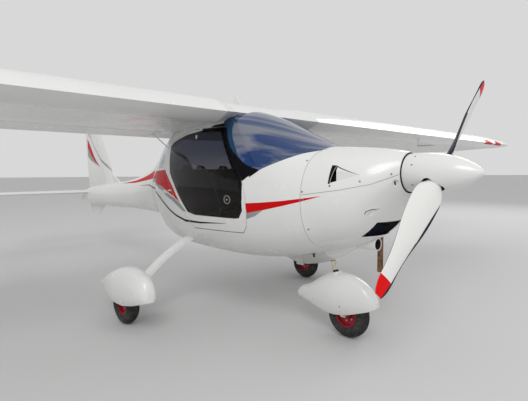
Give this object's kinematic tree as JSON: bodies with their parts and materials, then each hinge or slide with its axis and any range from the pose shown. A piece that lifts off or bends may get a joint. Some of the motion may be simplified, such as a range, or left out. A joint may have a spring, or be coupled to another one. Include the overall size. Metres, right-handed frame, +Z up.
{
  "type": "two-seat high-wing microlight aeroplane",
  "caption": "High-wing two-seat light aeroplane with a nose propeller, upward-opening doors, faired tricycle wheels, hinged flaps, ailerons, elevator and rudder.",
  "frame": {"origin": "centre of the bounding box, on the ground under the tyres", "axes": "+X to the nose, +Y to the port wing tip, +Z up"},
  "size_m": [6.0437, 10.95, 2.09],
  "materials": {
    "white_gelcoat": "gloss",
    "tinted_glass": null,
    "blue_glass": null,
    "clear_glass": null,
    "engine_metal": "satin",
    "exhaust_steel": "satin",
    "leg_paint": "gloss",
    "strut_steel": "satin",
    "tyre_rubber": null,
    "rim_paint": "gloss",
    "panel_plastic": "matte",
    "floor_grey": "matte",
    "seat_fabric": "matte",
    "blade_white": "gloss",
    "hub_metal": "satin"
  },
  "bodies": {
    "airframe": {"fuselage_belly": "white_gelcoat", "fuselage_nose": "white_gelcoat", "fuselage_rear": "white_gelcoat", "tail_boom": "white_gelcoat", "firewall": "engine_metal", "cowl_upper": "white_gelcoat", "cowl_lower": "white_gelcoat", "engine_block": "engine_metal", "exhaust_pipe": "exhaust_steel", "intake_duct": "white_gelcoat", "windscreen": "blue_glass", "rear_window": "clear_glass", "centre_section": "white_gelcoat", "instrument_panel": "panel_plastic", "cabin_floor": "floor_grey", "roof_aerial": "white_gelcoat", "pitot_tube": "strut_steel", "fin": "white_gelcoat", "ventral_fin": "white_gelcoat", "nose_leg_fairing": "white_gelcoat", "nose_leg": "strut_steel", "wing_left": "white_gelcoat", "wing_right": "white_gelcoat", "seat_left": "seat_fabric", "seat_right": "seat_fabric", "control_stick_left": "panel_plastic", "control_stick_right": "panel_plastic", "tailplane_left": "white_gelcoat", "tailplane_right": "white_gelcoat", "main_leg_left": "leg_paint", "main_leg_right": "leg_paint", "main_wheel_fairing_left": "white_gelcoat", "main_wheel_fairing_right": "white_gelcoat"},
    "propeller": {"spinner": "white_gelcoat", "spinner_backplate": "hub_metal", "propeller_hub": "hub_metal", "propeller_blade_a": "blade_white", "propeller_blade_b": "blade_white"},
    "nose_steering": {"nose_fork": "strut_steel", "nose_wheel_fairing": "white_gelcoat"},
    "nose_wheel": {"nose_tyre": "tyre_rubber", "nose_rim": "rim_paint"},
    "rudder": {"rudder": "white_gelcoat"},
    "elevator": {"elevator_left": "white_gelcoat", "elevator_right": "white_gelcoat"},
    "main_wheel_left": {"main_tyre_left": "tyre_rubber", "main_rim_left": "rim_paint"},
    "door_left": {"door_frame_left": "white_gelcoat", "door_glass_left": "tinted_glass"},
    "flap_left": {"flap_left": "white_gelcoat"},
    "aileron_left": {"aileron_left": "white_gelcoat"},
    "main_wheel_right": {"main_tyre_right": "tyre_rubber", "main_rim_right": "rim_paint"},
    "door_right": {"door_frame_right": "white_gelcoat", "door_glass_right": "tinted_glass"},
    "flap_right": {"flap_right": "white_gelcoat"},
    "aileron_right": {"aileron_right": "white_gelcoat"}
  },
  "joints": [
    {"name": "propeller_spin", "type": "hinge", "parent": "airframe", "child": "propeller", "pos_m": [2.778, 0, 1.132], "axis": [1, 0, 0], "continuous": true},
    {"name": "nose_wheel_steer", "type": "hinge", "parent": "airframe", "child": "nose_steering", "pos_m": [2.05, 0, 0.445], "axis": [-0.319, 0, 0.9478], "range_deg": [-20, 20]},
    {"name": "nose_wheel_roll", "type": "hinge", "parent": "nose_steering", "child": "nose_wheel", "pos_m": [2.163, 0, 0.16], "axis": [0, 1, 0], "continuous": true},
    {"name": "main_wheel_left_roll", "type": "hinge", "parent": "airframe", "child": "main_wheel_left", "pos_m": [0.851, 1.018, 0.16], "axis": [0, 1, 0], "continuous": true},
    {"name": "door_left_hinge", "type": "hinge", "parent": "airframe", "child": "door_left", "pos_m": [1.088, 0.446, 1.49], "axis": [1, 0, 0], "range_deg": [0, 60]},
    {"name": "flap_left_hinge", "type": "hinge", "parent": "airframe", "child": "flap_left", "pos_m": [0.583, 1.63, 1.55632], "axis": [0, -1, 0], "range_deg": [0, 35]},
    {"name": "aileron_left_hinge", "type": "hinge", "parent": "airframe", "child": "aileron_left", "pos_m": [0.583, 3.76, 1.55632], "axis": [0, -1, 0], "range_deg": [-20, 20]},
    {"name": "main_wheel_right_roll", "type": "hinge", "parent": "airframe", "child": "main_wheel_right", "pos_m": [0.851, -1.018, 0.16], "axis": [0, 1, 0], "continuous": true},
    {"name": "door_right_hinge", "type": "hinge", "parent": "airframe", "child": "door_right", "pos_m": [1.088, -0.446, 1.49], "axis": [-1, 0, 0], "range_deg": [0, 60]},
    {"name": "flap_right_hinge", "type": "hinge", "parent": "airframe", "child": "flap_right", "pos_m": [0.583, -1.63, 1.55632], "axis": [0, -1, 0], "range_deg": [0, 35]},
    {"name": "aileron_right_hinge", "type": "hinge", "parent": "airframe", "child": "aileron_right", "pos_m": [0.583, -3.76, 1.55632], "axis": [0, -1, 0], "range_deg": [-20, 20]},
    {"name": "elevator_hinge", "type": "hinge", "parent": "airframe", "child": "elevator", "pos_m": [-2.782, 0, 0.865], "axis": [0, -1, 0], "range_deg": [-25, 25]},
    {"name": "rudder_hinge", "type": "hinge", "parent": "airframe", "child": "rudder", "pos_m": [-2.484, 0, 0.995], "axis": [-0.1472, 0, 0.9891], "range_deg": [-25, 25]}
  ],
  "couplings": [
    {"joint": "flap_right_hinge", "follows": "flap_left_hinge", "ratio": 1},
    {"joint": "aileron_right_hinge", "follows": "aileron_left_hinge", "ratio": -1}
  ]
}
